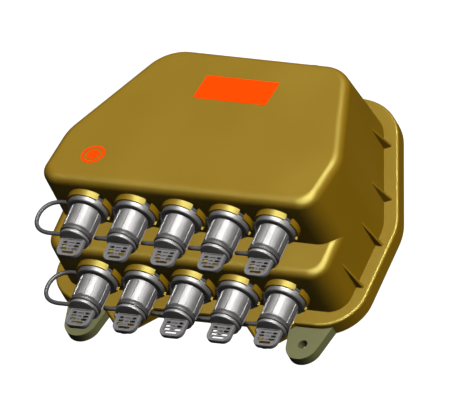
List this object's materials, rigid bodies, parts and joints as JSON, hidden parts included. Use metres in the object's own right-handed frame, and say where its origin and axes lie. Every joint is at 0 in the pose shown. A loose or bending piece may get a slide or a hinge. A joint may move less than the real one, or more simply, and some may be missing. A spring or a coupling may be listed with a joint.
{
  "type": "fibre termination box",
  "caption": "Wall-mounted fibre termination box with two rows of sealed drop ports, tethered dust caps, a splice tray and a splitter.",
  "frame": {"origin": "centre of the back face of the back plate, on the mounting plane, midway across the ports", "axes": "+Z out of the wall towards the cover's top face, +Y up the wall away from the ports, +X to the right seen from the ports with the cover up"},
  "size_m": [0.21, 0.2154, 0.0849],
  "materials": {
    "cover": "satin moulded, fine grain",
    "plate": "matt moulded",
    "cap": "satin metallic",
    "adapter": "satin metallic",
    "tether": "smooth moulded",
    "seal": "matt",
    "nut": "matt",
    "ceramic": "polished",
    "label": "matt film",
    "screw": "turned",
    "tray": "smooth moulded",
    "lid": "clear smoke",
    "splitter": "satin"
  },
  "bodies": {
    "enclosure": {"cover": "cover", "back_plate": "plate", "gasket": "seal", "cover_screws": "screw", "rear_screws": "screw", "label_panel": "label", "marker_spot": "label", "barrel_seals": "seal", "neck_seals": "seal", "neck_nuts": "nut", "ceramic_sleeves": "ceramic", "splice_tray": "tray", "tray_lid": "lid", "splitter": "splitter", "tray_screws": "screw", "adapter_1": "adapter", "adapter_2": "adapter", "adapter_3": "adapter", "adapter_4": "adapter", "adapter_5": "adapter", "adapter_6": "adapter", "adapter_7": "adapter", "adapter_8": "adapter", "adapter_9": "adapter", "adapter_10": "adapter"},
    "tether_1": {"tether_1": "tether"},
    "cap_1": {"dust_cap_1": "cap"},
    "tether_2": {"tether_2": "tether"},
    "cap_2": {"dust_cap_2": "cap"},
    "tether_3": {"tether_3": "tether"},
    "cap_3": {"dust_cap_3": "cap"},
    "tether_4": {"tether_4": "tether"},
    "cap_4": {"dust_cap_4": "cap"},
    "tether_5": {"tether_5": "tether"},
    "cap_5": {"dust_cap_5": "cap"},
    "tether_6": {"tether_6": "tether"},
    "cap_6": {"dust_cap_6": "cap"},
    "tether_7": {"tether_7": "tether"},
    "cap_7": {"dust_cap_7": "cap"},
    "tether_8": {"tether_8": "tether"},
    "cap_8": {"dust_cap_8": "cap"},
    "tether_9": {"tether_9": "tether"},
    "cap_9": {"dust_cap_9": "cap"},
    "tether_10": {"tether_10": "tether"},
    "cap_10": {"dust_cap_10": "cap"}
  },
  "joints": [
    {"name": "cap_pull_1", "type": "slide", "parent": "enclosure", "child": "tether_1", "axis": [0, -1, 0], "range_m": [0, 0.015], "deforming": ["tether_1"]},
    {"name": "cap_turn_1", "type": "hinge", "parent": "tether_1", "child": "cap_1", "pos_m": [-0.064, -0.0742, 0.0641], "axis": [0, -1, 0], "continuous": true},
    {"name": "cap_pull_2", "type": "slide", "parent": "enclosure", "child": "tether_2", "axis": [0, -1, 0], "range_m": [0, 0.015], "deforming": ["tether_2"]},
    {"name": "cap_turn_2", "type": "hinge", "parent": "tether_2", "child": "cap_2", "pos_m": [-0.032, -0.0742, 0.0641], "axis": [0, -1, 0], "continuous": true},
    {"name": "cap_pull_3", "type": "slide", "parent": "enclosure", "child": "tether_3", "axis": [0, -1, 0], "range_m": [0, 0.015], "deforming": ["tether_3"]},
    {"name": "cap_turn_3", "type": "hinge", "parent": "tether_3", "child": "cap_3", "pos_m": [0, -0.0742, 0.0641], "axis": [0, -1, 0], "continuous": true},
    {"name": "cap_pull_4", "type": "slide", "parent": "enclosure", "child": "tether_4", "axis": [0, -1, 0], "range_m": [0, 0.015], "deforming": ["tether_4"]},
    {"name": "cap_turn_4", "type": "hinge", "parent": "tether_4", "child": "cap_4", "pos_m": [0.032, -0.0742, 0.0641], "axis": [0, -1, 0], "continuous": true},
    {"name": "cap_pull_5", "type": "slide", "parent": "enclosure", "child": "tether_5", "axis": [0, -1, 0], "range_m": [0, 0.015], "deforming": ["tether_5"]},
    {"name": "cap_turn_5", "type": "hinge", "parent": "tether_5", "child": "cap_5", "pos_m": [0.064, -0.0742, 0.0641], "axis": [0, -1, 0], "continuous": true},
    {"name": "cap_pull_6", "type": "slide", "parent": "enclosure", "child": "tether_6", "axis": [0, -1, 0], "range_m": [0, 0.015], "deforming": ["tether_6"]},
    {"name": "cap_turn_6", "type": "hinge", "parent": "tether_6", "child": "cap_6", "pos_m": [-0.064, -0.0967, 0.0251], "axis": [0, -1, 0], "continuous": true},
    {"name": "cap_pull_7", "type": "slide", "parent": "enclosure", "child": "tether_7", "axis": [0, -1, 0], "range_m": [0, 0.015], "deforming": ["tether_7"]},
    {"name": "cap_turn_7", "type": "hinge", "parent": "tether_7", "child": "cap_7", "pos_m": [-0.032, -0.0967, 0.0251], "axis": [0, -1, 0], "continuous": true},
    {"name": "cap_pull_8", "type": "slide", "parent": "enclosure", "child": "tether_8", "axis": [0, -1, 0], "range_m": [0, 0.015], "deforming": ["tether_8"]},
    {"name": "cap_turn_8", "type": "hinge", "parent": "tether_8", "child": "cap_8", "pos_m": [0, -0.0967, 0.0251], "axis": [0, -1, 0], "continuous": true},
    {"name": "cap_pull_9", "type": "slide", "parent": "enclosure", "child": "tether_9", "axis": [0, -1, 0], "range_m": [0, 0.015], "deforming": ["tether_9"]},
    {"name": "cap_turn_9", "type": "hinge", "parent": "tether_9", "child": "cap_9", "pos_m": [0.032, -0.0967, 0.0251], "axis": [0, -1, 0], "continuous": true},
    {"name": "cap_pull_10", "type": "slide", "parent": "enclosure", "child": "tether_10", "axis": [0, -1, 0], "range_m": [0, 0.015], "deforming": ["tether_10"]},
    {"name": "cap_turn_10", "type": "hinge", "parent": "tether_10", "child": "cap_10", "pos_m": [0.064, -0.0967, 0.0251], "axis": [0, -1, 0], "continuous": true}
  ]
}
